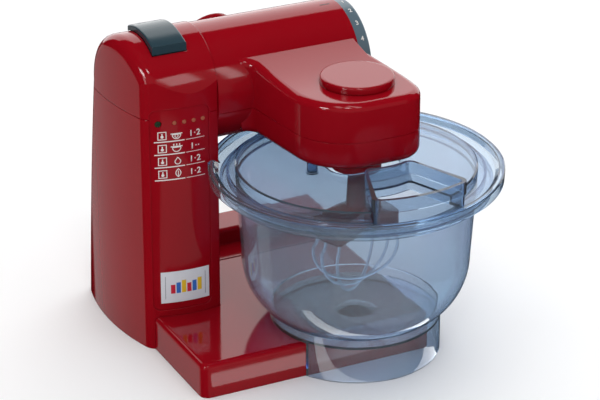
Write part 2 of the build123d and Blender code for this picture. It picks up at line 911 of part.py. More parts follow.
def arm_walls():
    floor = arm_bottom + arm_wall
    root = floor - arm_wall / 2
    shell = arm_form(0) - arm_form(arm_wall)
    shell += upright(shank_bore + collar_wall, root, lower_bush_low)
    shell += upright(bush_radius + bush_seat_wall, root, lower_bush_high)
    shell -= upright(shank_bore, arm_bottom - 1, lower_bush_low)
    shell -= collar_ring(press_gap, arm_bottom - 1, arm_bottom + collar_groove_depth + press_gap)
    shell -= upright(bush_radius, lower_bush_low - 0.01, lower_bush_high + 1)
    for x, y in post_places:
        shell += upright(post_radius, root, gear_plate_low, x, y)
        shell -= screw_hole(gear_plate_low - post_hole_depth, gear_plate_low + 1, x, y)
    shell += upright(idler_axle_radius + bush_wall, root, drive_gear_z - 1, idler_x, idler_y)
    shell -= upright(idler_axle_radius + press_gap, floor - 0.5, gear_plate_low, idler_x, idler_y)
    shell -= along_x(journal_radius + 0.1, barrel_left - 1, barrel_left + arm_wall + 0.5)
    shell -= along_x(dial_shaft_radius + running_gap, barrel_right - arm_wall - 1, barrel_right + 1)
    shell -= upright(drive_cover_plug_radius + 0.1, arm_top - arm_wall - 1, arm_top + 5)
    shell -= upright(drive_cover_radius + part_gap, arm_top, arm_top + 5)
    return shell


def make_arm_upper(walls):
    return walls & layer(arm_seam_z + seam_gap / 2, axis_z + barrel_radius + 5)


def make_arm_lower(walls):
    return walls & layer(arm_bottom - 5, arm_seam_z - seam_gap / 2)


def make_drive_collar():
    outer = collar_ring(0, collar_bottom, arm_bottom + collar_groove_depth)
    plate = upright(collar_radius - collar_plate_inset, collar_bottom, collar_bottom + collar_wall)
    sleeve = upright(shank_bore + collar_wall, collar_bottom, arm_bottom - press_gap)
    collar = outer + plate + sleeve
    return collar - upright(shank_bore, collar_bottom - 1, arm_bottom + 1)


def make_drive_cover():
    cap = upright(drive_cover_radius, arm_top + 0.05, arm_top + drive_cover_height)
    cap = fillet(cap.edges().sort_by(Axis.Z)[-1], drive_cover_edge)
    plug = upright(drive_cover_plug_radius, arm_top - arm_wall, arm_top + 1)
    return cap + plug - upright(drive_cover_plug_radius - 2, arm_top - arm_wall - 1, arm_top + 2)


def make_rear_cover():
    top = barrel_radius + rear_cover_proud
    disc = upright(rear_cover_radius, barrel_radius / 2, top)
    disc = fillet(disc.edges().sort_by(Axis.Z)[-1], drive_cover_edge)
    disc = rear_cover_place() * disc
    return disc - along_x(barrel_radius + 0.15, barrel_left - 1, barrel_right)


# Gear train

def spur_gear(teeth, low, high, turn=0.0):
    """A spur gear with involute flanks, each drawn through three points."""
    pitch = gear_radius(teeth)
    base = pitch * math.cos(math.radians(20))
    tip = pitch + gear_module
    root = pitch - 1.25 * gear_module
    half_pitch_angle = (math.pi * gear_module / 2 - gear_backlash) / (2 * pitch)

    def involute(radius):
        if radius <= base:
            return 0.0
        t = math.sqrt((radius / base) ** 2 - 1)
        return t - math.atan(t)

    points = []
    start = max(base, root + 0.05)
    middle = (start + tip) / 2
    for i in range(teeth):
        centre = 2 * math.pi * i / teeth + math.radians(turn)
        flank = []
        for radius in (root, start, middle, tip):
            angle = half_pitch_angle + involute(pitch) - involute(radius)
            flank.append((radius, angle))
        for radius, angle in flank:
            points.append((radius * math.cos(centre - angle), radius * math.sin(centre - angle)))
        for radius, angle in reversed(flank):
            points.append((radius * math.cos(centre + angle), radius * math.sin(centre + angle)))
    with BuildSketch() as outline:
        with BuildLine():
            Polyline(*points, close=True)
        make_face()
    return Pos(0, 0, low) * extrude(outline.sketch, high - low)


def make_drive_gear():
    gear = spur_gear(drive_teeth, drive_gear_z, drive_gear_z + gear_width, idler_degrees)
    gear += upright(shaft_radius + 3, drive_gear_z, gear_plate_low - 3)
    gear -= upright(shaft_radius + press_gap, drive_gear_z - 1, gear_plate_low)
    for i in range(6):
        x, y = polar(gear_radius(drive_teeth) * 0.62, 60 * i + 30)
        gear -= upright(3.4, drive_gear_z - 1, drive_gear_z + gear_width + 1, x, y)
    return gear


idler_split = drive_gear_z + gear_width + gear_step


def make_idler_gear():
    half_tooth = 180.0 / idler_small_teeth
    small_turn = idler_degrees + 180 + half_tooth
    small = spur_gear(idler_small_teeth, drive_gear_z - 0.5, idler_split, small_turn)
    big = spur_gear(idler_big_teeth, idler_split, idler_split + gear_width, motor_degrees)
    gear = small + big - upright(idler_axle_radius + running_gap, drive_gear_z - 1, gear_plate_low)
    return Pos(idler_x, idler_y, 0) * gear


def make_idler_axle():
    return upright(idler_axle_radius, arm_bottom + arm_wall - 0.4, gear_plate_high, idler_x, idler_y)


motor_low = gear_plate_high + part_gap / 3


def make_motor():
    can = upright(motor_radius, motor_low, motor_low + motor_height)
    can = fillet(can.edges().sort_by(Axis.Z)[-1], 1.5)
    can += upright(motor_nose_radius, motor_low - motor_nose_height, motor_low + 1)
    can -= upright(motor_shaft_radius + running_gap, motor_low - 5, motor_low + motor_height * 0.6)
    top = motor_low + motor_height
    for x in (-motor_tab_place, motor_tab_place):
        can += block((x - 1, -0.4, top - 0.5), (x + 1, 0.4, top + 2))
    return Pos(motor_x, motor_y, 0) * can


def make_motor_pinion():
    half_tooth = 180.0 / pinion_teeth
    turn = motor_degrees + 180 + half_tooth
    pinion = spur_gear(pinion_teeth, idler_split + part_gap, idler_split + gear_width, turn)
    shaft = upright(motor_shaft_radius, idler_split - 0.4, motor_low + motor_height * 0.5)
    return Pos(motor_x, motor_y, 0) * (pinion + shaft)


def make_gear_plate():
    margin = post_radius + post_plate_margin
    circles = [Pos(x, y) * Circle(margin) for x, y in post_places + [(idler_x, idler_y + 8)]]
    edges = []
    for circle in circles:
        edges += circle.edges()
    plate = Pos(0, 0, gear_plate_low + 0.1) * extrude(make_hull(edges), gear_plate_thickness - 0.1)
    low, high = gear_plate_low - 1, gear_plate_high + 1
    for x, y in post_places:
        plate -= upright(screw_radius + 0.2, low, high, x, y)
    plate -= upright(idler_axle_radius + press_gap, low, high, idler_x, idler_y)
    plate -= upright(motor_nose_radius + 0.1, low, high, motor_x, motor_y)
    return plate - upright(bush_radius, low, high)


def make_gear_plate_screws():
    screws = []
    for x, y in post_places:
        shaft = upright(screw_radius, gear_plate_low - 6, gear_plate_high + 0.5, x, y)
        head_low = gear_plate_high + 0.1
        screws.append(shaft + upright(screw_head_radius, head_low, head_low + screw_head_height, x, y))
    return Compound(children=screws)


def make_shaft_bushes():
    lower = upright(bush_radius - press_gap, lower_bush_low, lower_bush_high)
    upper = upright(bush_radius - press_gap, gear_plate_low - 1, gear_plate_high + 1)
    bore = upright(shaft_radius + running_gap, shank_top, gear_plate_high + 5)
    lower -= bore
    upper -= bore
    return Compound(children=[lower, upper])


def make_drive_shaft():
    shaft = upright(shaft_radius, shaft_bottom, gear_plate_high + 2)
    return chamfer(shaft.edges().sort_by(Axis.Z)[0], 0.8)


# Whisk

def wire_degrees():
    middle = (wire_count - 1) / 2
    return [carrier_degrees + (i - middle) * wire_pitch_degrees for i in range(wire_count)]


def carrier_fan(side):
    """One fan of the carrier: the hub, widened to take one end of each wire."""
    edges = Circle(carrier_hub_radius).edges()
    for degrees in wire_degrees():
        x, y = polar(wire_reach, degrees + side)
        edges += (Pos(x, y) * Circle(carrier_corner_radius)).edges()
    return make_hull(edges)


def make_whisk_carrier():
    outline = carrier_fan(0) + carrier_fan(180)
    body = Pos(0, 0, carrier_bottom) * extrude(outline, carrier_top - carrier_bottom)
    reach = wire_reach + carrier_corner_radius + 1
    end_z = carrier_bottom + carrier_end_height
    body &= turned([(0, carrier_bottom - 1), (reach, carrier_bottom - 1), (reach, end_z),
                    (shank_bottom_radius, carrier_top), (0, carrier_top)])
    body = fillet(body.faces().sort_by(Axis.Z)[0].edges(), carrier_edge_radius)
    taper_low = carrier_top - 1
    taper = Cone(shank_bottom_radius, shank_top_radius, shank_taper_top - taper_low,
                 align=(Align.CENTER, Align.CENTER, Align.MIN))
    shank = Pos(0, 0, taper_low) * taper + upright(shank_top_radius, shank_taper_top, shank_top)
    body += shank
    body -= upright(shaft_radius + press_gap, shaft_bottom - 0.5, shank_top + 1)
    socket_top = carrier_bottom + wire_socket_depth
    for degrees in wire_degrees():
        for side in (0, 180):
            x, y = polar(wire_reach, degrees + side)
            body -= upright(wire_radius + 0.03, carrier_bottom - 1, socket_top + part_gap, x, y)
    return body


def wire_path(index):
    """Straight ends in the carrier, then a loop of round arcs that bows out and crosses below."""
    top = (wire_reach, carrier_bottom + wire_socket_depth)
    start = (wire_reach, carrier_bottom - wire_straight)
    wide = (wire_reach + wire_bulge, wire_bulge_z)
    waist = ((start[0] + wide[0]) / 2, (start[1] + wide[1]) / 2)
    low = wire_bottom + index * wire_crossing_step
    low_radius = wide[0] ** 2 / (wire_bulge_z - low)
    rise = wire_bulge_z - low - low_radius
    side_radius = (wide[0] ** 2 + rise ** 2 - low_radius ** 2) / (2 * (wide[0] - low_radius))
    share = low_radius / (low_radius - side_radius)
    turn = ((wide[0] - side_radius) * share, low + low_radius + rise * share)

    def other(point):
        return (-point[0], point[1])

    with BuildLine(Plane.XZ) as path:
        Line(top, start)
        leave = TangentArc(start, waist, tangent=(0, -1))
        TangentArc(waist, wide, tangent=leave % 1)
        side = TangentArc(wide, turn, tangent=(0, -1))
        floor = TangentArc(turn, other(turn), tangent=side % 1)
        TangentArc(other(turn), other(wide), tangent=floor % 1)
        back = TangentArc(other(wide), other(waist), tangent=(0, 1))
        TangentArc(other(waist), other(start), tangent=back % 1)
        Line(other(start), other(top))
    return path.line


def make_wire(index, degrees):
    path = wire_path(index)
    ring = Plane(path @ 0, z_dir=path % 0) * Circle(wire_radius)
    return Rot(0, 0, degrees) * sweep(ring, path)


def make_whisk_wires():
    turns = list(reversed(wire_degrees()))
    return Compound(children=[make_wire(i, degrees) for i, degrees in enumerate(turns)])


# Speed dial

def make_speed_dial():
    dial = along_x(dial_radius, dial_left, dial_right)
    dial = fillet(dial.edges().sort_by(Axis.X)[-1], dial_edge_radius)
    relief = along_x(dial_radius - dial_wall, dial_left - 1, dial_left + dial_wall)
    relief -= along_x(dial_shaft_radius + 5, dial_left - 2, dial_left + 10)
    dial -= relief
    recess = along_x(dial_recess_radius, dial_right - dial_recess_depth, dial_right + 1)
    bar = block((dial_right - dial_recess_depth - 1, axis_y - dial_grip_half_width, axis_z - 60),
                (dial_right + 2, axis_y + dial_grip_half_width, axis_z + 60))
    dial -= recess - bar
    return dial - along_x(dial_shaft_radius + press_gap, dial_left - 1, dial_right - dial_wall)


def make_dial_shaft():
    return along_x(dial_shaft_radius, dial_shaft_end, dial_right - dial_wall - 0.05)


def make_rotary_switch():
    right = barrel_right - arm_wall - 0.05
    low = (right - switch_depth, axis_y - switch_size / 2, axis_z - switch_size / 2)
    high = (right, axis_y + switch_size / 2, axis_z + switch_size / 2)
    case = block(low, high)
    case = chamfer(case.edges().filter_by(Axis.X), 2.0)
    return case - along_x(dial_shaft_radius + running_gap, low[0] - 1, right + 1)


# Bowl

def make_bowl():
    t = bowl_wall
    foot_inner = bowl_foot_radius - t
    floor_low = base_height
    floor_high = base_height + bowl_floor_thickness
    rim_low = bowl_rim_z - bowl_rim_thickness
    lip_low = rim_low - bowl_rim_lip
    curve_x = bowl_side_radius - bowl_curve_radius

    def curve(radius, end_x, part):
        """A point on the round lower wall, from its upright start (0) to its end (1)."""
        angle = part * math.acos((end_x - curve_x) / radius)
        return (curve_x + radius * math.cos(angle), bowl_side_z - radius * math.sin(angle))

    outer, inner = bowl_curve_radius, bowl_curve_radius - t
    dome_z = floor_high + bowl_dome_height
    dome_ball = (bowl_dome_radius ** 2 + bowl_dome_height ** 2) / (2 * bowl_dome_height)
    half_way = math.asin(bowl_dome_radius / dome_ball) / 2
    dome_middle = (dome_ball * math.sin(half_way), dome_z - dome_ball * (1 - math.cos(half_way)))
    with BuildSketch(Plane.XZ) as section:
        with BuildLine():
            Polyline((0, floor_low), (foot_inner, floor_low), (foot_inner, 0), (bowl_foot_radius, 0),
                     curve(outer, bowl_foot_radius, 1))
            ThreePointArc(curve(outer, bowl_foot_radius, 1), curve(outer, bowl_foot_radius, 0.5),
                          curve(outer, bowl_foot_radius, 0))
            Polyline(curve(outer, bowl_foot_radius, 0), (bowl_top_radius, rim_low),
                     (bowl_rim_radius - t, rim_low), (bowl_rim_radius - t, lip_low),
                     (bowl_rim_radius, lip_low), (bowl_rim_radius, bowl_rim_z),
                     (bowl_top_radius - t, bowl_rim_z), curve(inner, foot_inner, 0))
            ThreePointArc(curve(inner, foot_inner, 0), curve(inner, foot_inner, 0.5),
                          curve(inner, foot_inner, 1))
            Polyline(curve(inner, foot_inner, 1), (foot_inner, floor_high), (bowl_dome_radius, floor_high))
            ThreePointArc((bowl_dome_radius, floor_high), dome_middle, (0, dome_z))
            Line((0, dome_z), (0, floor_low))
        make_face()
    bowl = revolve(section.sketch, Axis.Z)
    notch = block((-200, base_front - bowl_notch_gap, -1), (base_right + bowl_notch_gap, 200, base_height))
    return bowl - notch


# Lid

def chute_outline(inner, outer, half):
    """A ring sector about the bowl's axis, with rounded corners."""
    middle = chute_middle_degrees
    with BuildSketch() as sector:
        with BuildLine():
            ThreePointArc(polar(outer, middle - half), polar(outer, middle), polar(outer, middle + half))
            Line(polar(outer, middle + half), polar(inner, middle + half))
            ThreePointArc(polar(inner, middle + half), polar(inner, middle), polar(inner, middle - half))
            Line(polar(inner, middle - half), polar(outer, middle - half))
        make_face()
    return sector.sketch


def rounded_chute(shrink):
    inner = chute_inner_radius + shrink
    outer = chute_outer_radius - shrink
    half = chute_half_degrees - math.degrees(shrink / ((inner + outer) / 2))
    outline = chute_outline(inner, outer, half)
    return fillet(outline.vertices(), max(chute_corner_radius - shrink, 0.8))


def slot_outline(grow):
    width = slot_right - slot_left + 2 * grow
    depth = slot_back - slot_front + grow
    shape = Pos(slot_left - grow, slot_front - grow) * Rectangle(width, depth, align=(Align.MIN, Align.MIN))
    return fillet(shape.vertices().sort_by(Axis.Y)[0:2], slot_corner + grow)


def make_lid():
    t = lid_wall
    rim_inner = lid_radius - lid_rim_width
    under = lid_channel_z - t
    seat_low = bowl_rim_z + part_gap
    lid = turned([
        (0, lid_deck_z), (lid_deck_radius - 1, lid_deck_z), (lid_deck_radius, lid_deck_z - 1),
        (lid_deck_radius, lid_channel_z), (lid_channel_outer, lid_channel_z), (rim_inner, lid_rim_top - 0.6),
        (rim_inner + 0.8, lid_rim_top), (lid_radius - 0.8, lid_rim_top), (lid_radius, lid_rim_top - 0.8),
        (lid_radius - 0.4, lid_skirt_bottom), (lid_radius - 0.4 - t, lid_skirt_bottom),
        (lid_radius - t, lid_rim_top - t), (rim_inner + 1.2, lid_rim_top - t), (lid_channel_outer + 1, under),
        (lid_seat_radius, under), (lid_seat_radius, seat_low), (lid_seat_radius - t, seat_low),
        (lid_seat_radius - t, under), (lid_deck_radius - t, under), (lid_deck_radius - t, lid_deck_z - t),
        (0, lid_deck_z - t),
    ])
    chute = Pos(0, 0, under) * extrude(rounded_chute(0), chute_top - under)
    band = Pos(0, 0, chute_band_z) * extrude(rounded_chute(-chute_band_proud), chute_top - chute_band_z)
    lid += chute + band
    lid -= Pos(0, 0, seat_low - 1) * extrude(rounded_chute(t), chute_top - seat_low + 5)
    lid += Pos(0, 0, lid_deck_z - 0.5) * extrude(slot_outline(slot_lip_width) & Circle(lid_deck_radius - 1),
                                                 slot_lip_height + 0.5)
    lid -= Pos(0, 0, seat_low - 1) * extrude(slot_outline(0), 60)
    peg = upright(peg_radius, lid_deck_z - 0.5, lid_deck_z + peg_height, peg_x, peg_y)
    peg = fillet(peg.edges().sort_by(Axis.Z)[-1], 0.8)
    peg += upright(peg_collar_radius, lid_deck_z - 0.5, lid_deck_z + peg_collar_height, peg_x, peg_y)
    lid += peg
    barrel_room = along_x(barrel_radius + lid_clearance, barrel_left - 5, dial_right)
    return lid - column_form(-lid_clearance) - barrel_room


column_part = column_walls()
arm_part = arm_walls()

parts = {
    "base_plate": make_base_plate(),
    "bottom_cover": make_bottom_cover(),
    "battery_door": make_battery_door(),
    "batteries": make_cells(),
    "battery_contacts": make_contacts(),
    "cover_screws": make_cover_screws(),
    "column_shell": make_column_shell(column_part),
    "head_shell": make_head_shell(column_part),
    "front_panel": make_front_panel(),
    "power_lamp": make_power_lamp(),
    "indicator_lamps": make_indicator_lamps(),
    "circuit_board": make_circuit_board(),
    "release_button": make_release_button(),
    "button_springs": make_button_springs(),
    "latch_lever": make_latch_lever(),
    "latch_pin": make_latch_pin(),
    "pivot_bush": make_pivot_bush(),
    "arm_journal": make_arm_journal(),
    "ratchet_disc": make_ratchet_disc(),
    "arm_upper_shell": make_arm_upper(arm_part),
    "arm_lower_shell": make_arm_lower(arm_part),
    "drive_collar": make_drive_collar(),
    "drive_cover": make_drive_cover(),
    "rear_drive_cover": make_rear_cover(),
    "motor": make_motor(),
    "motor_pinion": make_motor_pinion(),
    "idler_gear": make_idler_gear(),
    "idler_axle": make_idler_axle(),
    "drive_gear": make_drive_gear(),
    "drive_shaft": make_drive_shaft(),
    "shaft_bushes": make_shaft_bushes(),
    "gear_plate": make_gear_plate(),
    "gear_plate_screws": make_gear_plate_screws(),
    "whisk_carrier": make_whisk_carrier(),
    "whisk_wires": make_whisk_wires(),
    "speed_dial": make_speed_dial(),
    "dial_shaft": make_dial_shaft(),
    "rotary_switch": make_rotary_switch(),
    "bowl": make_bowl(),
    "lid": make_lid(),
}

os.makedirs("parts", exist_ok=True)
for name, solid in parts.items():
    export_step(solid, "parts/" + name + ".step")
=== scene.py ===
import math

import bpy
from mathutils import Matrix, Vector


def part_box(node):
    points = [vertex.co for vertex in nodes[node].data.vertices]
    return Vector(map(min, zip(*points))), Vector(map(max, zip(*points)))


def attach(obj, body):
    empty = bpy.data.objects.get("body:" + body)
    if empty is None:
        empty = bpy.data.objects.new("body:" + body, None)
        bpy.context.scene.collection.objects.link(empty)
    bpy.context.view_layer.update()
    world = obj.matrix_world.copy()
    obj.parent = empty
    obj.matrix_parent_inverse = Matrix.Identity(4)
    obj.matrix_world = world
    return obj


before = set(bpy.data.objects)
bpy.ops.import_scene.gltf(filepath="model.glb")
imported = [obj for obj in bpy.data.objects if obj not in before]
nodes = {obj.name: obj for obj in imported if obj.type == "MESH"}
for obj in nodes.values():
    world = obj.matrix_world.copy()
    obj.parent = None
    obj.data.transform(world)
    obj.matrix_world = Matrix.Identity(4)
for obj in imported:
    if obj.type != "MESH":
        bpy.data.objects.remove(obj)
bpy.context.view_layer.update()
bpy.ops.object.select_all(action="DESELECT")

# Studio: a pale paper table in even light, seen from the front left through a long lens. The flat
# tops mirror a wide bright wall far behind, and the rounded and upright faces mirror soft boxes
# and cards.

TOWARDS_CAMERA = Vector((-0.4002, -0.8130, 0.4228))
CAMERA_PLACE = (-0.7936, -1.5221, 0.9151)
LENS_MM = 159.92
SENSOR_MM = 36.0
MIDDLE = Vector((-0.03, 0.07, 0.12))
AIR_LIGHT = 0.46
TABLE_SIZE = 14.0

bpy.ops.object.camera_add(location=CAMERA_PLACE)
camera = bpy.context.object
camera.name = "studio_camera"
camera.rotation_mode = "QUATERNION"
camera.rotation_quaternion = (-TOWARDS_CAMERA).to_track_quat("-Z", "Y")
camera.data.lens = LENS_MM
camera.data.sensor_width = SENSOR_MM
camera.data.clip_start = 0.05
camera.data.clip_end = 60.0
bpy.context.scene.camera = camera


def soft_box(name, place, width, height, radiance, aim=MIDDLE, mirrored=True):
    """A rectangular lamp turned to its aim, of the brightness that it has when looked at."""
    bpy.ops.object.light_add(type="AREA", location=place)
    lamp = bpy.context.object
    lamp.name = name
    lamp.rotation_mode = "QUATERNION"
    lamp.rotation_quaternion = (Vector(aim) - Vector(place)).to_track_quat("-Z", "Y")
    lamp.data.shape = "RECTANGLE"
    lamp.data.size = width
    lamp.data.size_y = height
    lamp.data.energy = math.pi * width * height * radiance
    lamp.visible_camera = False
    lamp.visible_glossy = mirrored
    return lamp


def card(name, place, width, height, radiance, aim=MIDDLE):
    """A lit card that only shows mirrored in glossy faces."""
    lamp = soft_box(name, place, width, height, radiance, aim)
    lamp.visible_diffuse = False
    lamp.visible_transmission = False


soft_box("back_wall", (1.75, 3.4, 1.55), width=7.5, height=4.4, radiance=1.70)
soft_box("front_box", (-0.55, -1.5, 2.3), width=0.42, height=0.26, radiance=14.0)
soft_box("top_box", (-0.1, -0.3, 2.6), width=2.6, height=2.6, radiance=1.5, mirrored=False)
soft_box("fill_box", (-1.2, -2.6, 1.2), width=2.4, height=1.6, radiance=0.95, mirrored=False)

# These four show in the column's left side and as a faint sheen on what faces the front.
card("left_box", (-2.2, -0.9, 1.45), width=0.75, height=0.42, radiance=14.0)
card("left_low_box", (-2.2, -0.95, 0.75), width=0.30, height=0.60, radiance=4.0)
card("left_glow", (-1.3, 2.0, -0.9), width=2.2, height=1.6, radiance=0.42, aim=(-0.14, 0.08, 0.1))
card("front_haze", (-0.6, -3.6, 1.3), width=8.0, height=4.0, radiance=0.16)

# These four stand close to the face that mirrors each: head, seam, front panel and base front.
card("head_card", (-0.0600, -0.0574, 0.2783), width=0.024, height=0.046, radiance=2.6,
     aim=(-0.1112, 0.0519, 0.2075))
card("seam_card", (-0.0200, -0.0597, 0.2680), width=0.012, height=0.066, radiance=3.0,
     aim=(-0.0734, 0.0535, 0.2052))
card("panel_card", (-0.045, -0.150, 0.008), width=0.240, height=0.150, radiance=0.28,
     aim=(-0.080, 0.040, 0.107))
card("base_card", (-0.032, -0.0510, 0.0006), width=0.178, height=0.018, radiance=3.1,
     aim=(-0.032, -0.0510, 1.0))

world = bpy.data.worlds.new("studio_air")
bpy.context.scene.world = world
world.use_nodes = True
air = world.node_tree.nodes["Background"]
air.inputs["Color"].default_value = (1, 1, 1, 1)
air.inputs["Strength"].default_value = AIR_LIGHT
world.cycles_visibility.glossy = False
bpy.context.scene.view_settings.view_transform = "Standard"
bpy.context.scene.view_settings.look = "None"

bpy.ops.mesh.primitive_plane_add(size=TABLE_SIZE, location=(0, 0, 0))
table = bpy.context.object
table.name = "studio_table"
table_paper = bpy.data.materials.new("table_paper")
table_paper.use_nodes = True
paper_shader = table_paper.node_tree.nodes["Principled BSDF"]
paper_shader.inputs["Base Color"].default_value = (0.93, 0.93, 0.935, 1)
paper_shader.inputs["Roughness"].default_value = 0.9
paper_shader.inputs["Specular IOR Level"].default_value = 0.0
table.data.materials.append(table_paper)
table.visible_glossy = False
bpy.ops.object.select_all(action="DESELECT")

# Base plate with its cell housing, closing plate and door: gloss red ABS, injection moulded and
# screwed together. The skin has the slight waves, colour drift and patchy gloss of such mouldings.

RED = (0.30, 0.0028, 0.009)
DEEP_RED = (0.26, 0.0022, 0.007)
RED_GLOSS = 0.09
BASE_EDGE = 0.0012
BASE_MIRRORING = 0.38


def moulded_skin():
    """Node group: a moulding's colour drift (on the clear bowl a painted sheen), its patchy gloss and the
    height of its waves.
    """
    group = bpy.data.node_groups.new("moulded_skin", "ShaderNodeTree")
    for socket, kind, value in (("Colour", "NodeSocketColor", (0.5, 0.5, 0.5, 1)),
                                ("Deep Colour", "NodeSocketColor", (0.4, 0.4, 0.4, 1)),
                                ("Gloss", "NodeSocketFloat", 0.15),
                                ("Patchiness", "NodeSocketFloat", 0.04),
                                ("Grain Scale", "NodeSocketFloat", 900.0)):
        added = group.interface.new_socket(name=socket, in_out="INPUT", socket_type=kind)
        added.default_value = value
    for socket, kind in (("Colour", "NodeSocketColor"), ("Roughness", "NodeSocketFloat"),
                         ("Height", "NodeSocketFloat")):
        group.interface.new_socket(name=socket, in_out="OUTPUT", socket_type=kind)
    new, link = group.nodes.new, group.links.new
    given = new("NodeGroupInput")
    result = new("NodeGroupOutput")
    place = new("ShaderNodeTexCoord")

    def noise(detail, scale=1.0, distortion=0.0):
        texture = new("ShaderNodeTexNoise")
        texture.inputs["Scale"].default_value = scale
        texture.inputs["Detail"].default_value = detail
        texture.inputs["Distortion"].default_value = distortion
        link(place.outputs["Object"], texture.inputs["Vector"])
        return texture

    # Sockets 6 and 7 of a Mix node are its two colours, and its colour comes out at 2.
    drift_and_sheen = new("ShaderNodeMix")
    drift_and_sheen.data_type = "RGBA"
    link(noise(detail=2.0, scale=14.0).outputs["Fac"], drift_and_sheen.inputs[0])
    link(given.outputs["Colour"], drift_and_sheen.inputs[6])
    link(given.outputs["Deep Colour"], drift_and_sheen.inputs[7])
    link(drift_and_sheen.outputs[2], result.inputs["Colour"])

    smear = new("ShaderNodeMath")
    smear.operation = "SUBTRACT"
    smear.inputs[1].default_value = 0.5
    link(noise(detail=5.0, scale=45.0, distortion=0.6).outputs["Fac"], smear.inputs[0])
    patches = new("ShaderNodeMath")
    patches.operation = "MULTIPLY_ADD"
    link(smear.outputs["Value"], patches.inputs[0])
    link(given.outputs["Patchiness"], patches.inputs[1])
    link(given.outputs["Gloss"], patches.inputs[2])
    link(patches.outputs["Value"], result.inputs["Roughness"])

    grain = noise(detail=2.0)
    link(given.outputs["Grain Scale"], grain.inputs["Scale"])
    link(grain.outputs["Fac"], result.inputs["Height"])
    return group


MOULDED_SKIN = moulded_skin()


def moulding(name, colour, deep, gloss, patchiness=0.05, grain=60.0, bump=0.02, edge=0.00035):
    """A moulded plastic: the skin's effect, and edges rounded as by the tool's small radii."""
    material = bpy.data.materials.new(name)
    material.use_nodes = True
    tree = material.node_tree
    shader = tree.nodes["Principled BSDF"]
    skin = tree.nodes.new("ShaderNodeGroup")
    skin.node_tree = MOULDED_SKIN
    skin.inputs["Colour"].default_value = (*colour, 1)
    skin.inputs["Deep Colour"].default_value = (*deep, 1)
    skin.inputs["Gloss"].default_value = gloss
    skin.inputs["Patchiness"].default_value = patchiness
    skin.inputs["Grain Scale"].default_value = grain
    tree.links.new(skin.outputs["Colour"], shader.inputs["Base Color"])
    tree.links.new(skin.outputs["Roughness"], shader.inputs["Roughness"])
    waves = tree.nodes.new("ShaderNodeBump")
    waves.inputs["Strength"].default_value = bump
    waves.inputs["Distance"].default_value = 0.001
    tree.links.new(skin.outputs["Height"], waves.inputs["Height"])
    if edge:
        rounding = tree.nodes.new("ShaderNodeBevel")
        rounding.samples = 6
        rounding.inputs["Radius"].default_value = edge
        tree.links.new(rounding.outputs["Normal"], waves.inputs["Normal"])
    tree.links.new(waves.outputs["Normal"], shader.inputs["Normal"])
    return material


def dress(material, *names):
    """Gives CAD nodes their material."""
    for name in names:
        nodes[name].data.materials.clear()
        nodes[name].data.materials.append(material)


red_plastic = moulding("red_gloss_plastic", RED, DEEP_RED, RED_GLOSS)
base_plastic = moulding("red_base_plastic", RED, DEEP_RED, RED_GLOSS, edge=BASE_EDGE)
base_shader = base_plastic.node_tree.nodes["Principled BSDF"]
base_shader.inputs["Specular IOR Level"].default_value = BASE_MIRRORING
dress(base_plastic, "base_plate")
dress(red_plastic, "bottom_cover", "battery_door")

# Cells, contacts and screws: bought-in parts, reached from below or inside. Sleeved cells, plated
# spring strip, and cross-headed self-tapping screws.

cell_sleeve = moulding("cell_sleeve", (0.05, 0.06, 0.08), (0.03, 0.035, 0.05), gloss=0.35)
dress(cell_sleeve, "batteries")


def bright_metal(name, colour, gloss):
    """Bare or plated metal with fine drawing marks."""
    deep = tuple(0.8 * c for c in colour)
    material = moulding(name, colour, deep, gloss, patchiness=0.15, grain=2400.0, bump=0.03)
    material.node_tree.nodes["Principled BSDF"].inputs["Metallic"].default_value = 1.0
    return material


dress(bright_metal("plated_strip", (0.62, 0.60, 0.55), gloss=0.3), "battery_contacts")
screw_steel = bright_metal("screw_steel", (0.45, 0.45, 0.47), gloss=0.32)
dress(screw_steel, "cover_screws", "gear_plate_screws", "latch_pin", "idler_axle", "button_springs")

# Column, head and front panel: three red mouldings, the head clipped on along the seam, and the
# bowed panel set into the front. The shells' edges along the seams are rounded enough to show.

SHELL_EDGE = 0.0009

shell_plastic = moulding("red_shell_plastic", RED, DEEP_RED, RED_GLOSS, edge=SHELL_EDGE)
dress(shell_plastic, "head_shell", "column_shell")
dress(red_plastic, "front_panel")

# Printed table on the panel: pad-printed in white ink, a film on the bowed face. Four rows, each
# over a thick and a thin rule, with a square sign, a sign for what is mixed, and plain numbers.

TABLE_RULES_Z = (0.1628, 0.1530, 0.1432, 0.1334)
THICK_RULE = (-0.1315, -0.1100)
THIN_RULE = (-0.1090, -0.0948)
RULE_CUTS = 10
SQUARE_X, SQUARE_UP = -0.1260, 0.0047
BOWL_X, BOWL_UP = -0.1158, 0.0047
DROP_X, DROP_UP = -0.1152, 0.0045
LEAF_X, LEAF_UP = -0.1150, 0.0048
NUMBERS_X, NUMBERS_UP = -0.1023, 0.0041
NUMBERS_HEIGHT = 0.0044
CAPITAL_SHARE = 0.69
LETTER_GAP = 1.12
FACE_WEIGHT = 0.00010
STROKE = 0.0006
PRINT_FILM = 0.00006
SHEET_STANDOFF = 0.004
PANEL_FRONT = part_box("front_panel")[0][1] - SHEET_STANDOFF


def film_on(piece, node, film=PRINT_FILM, from_front=True):
    """Presses a flat film onto a CAD face and gives it the film's thickness."""
    bpy.context.view_layer.objects.active = piece
    wrap = piece.modifiers.new("wrap", "SHRINKWRAP")
    wrap.target = nodes[node]
    if from_front:
        wrap.wrap_method = "PROJECT"
        wrap.use_project_y = True
    else:
        wrap.wrap_method = "NEAREST_SURFACEPOINT"
    wrap.wrap_mode = "ABOVE_SURFACE"
    wrap.offset = film
    bpy.ops.object.modifier_apply(modifier="wrap")
    thick = piece.modifiers.new("film", "SOLIDIFY")
    thick.thickness = film
    thick.offset = -1.0
    bpy.ops.object.modifier_apply(modifier="film")
    return piece


def fix_shape(piece, name):
    """Names a new shape and puts its place into its mesh."""
    piece.name = name
    bpy.ops.object.transform_apply(location=True, rotation=True, scale=True)
    return piece


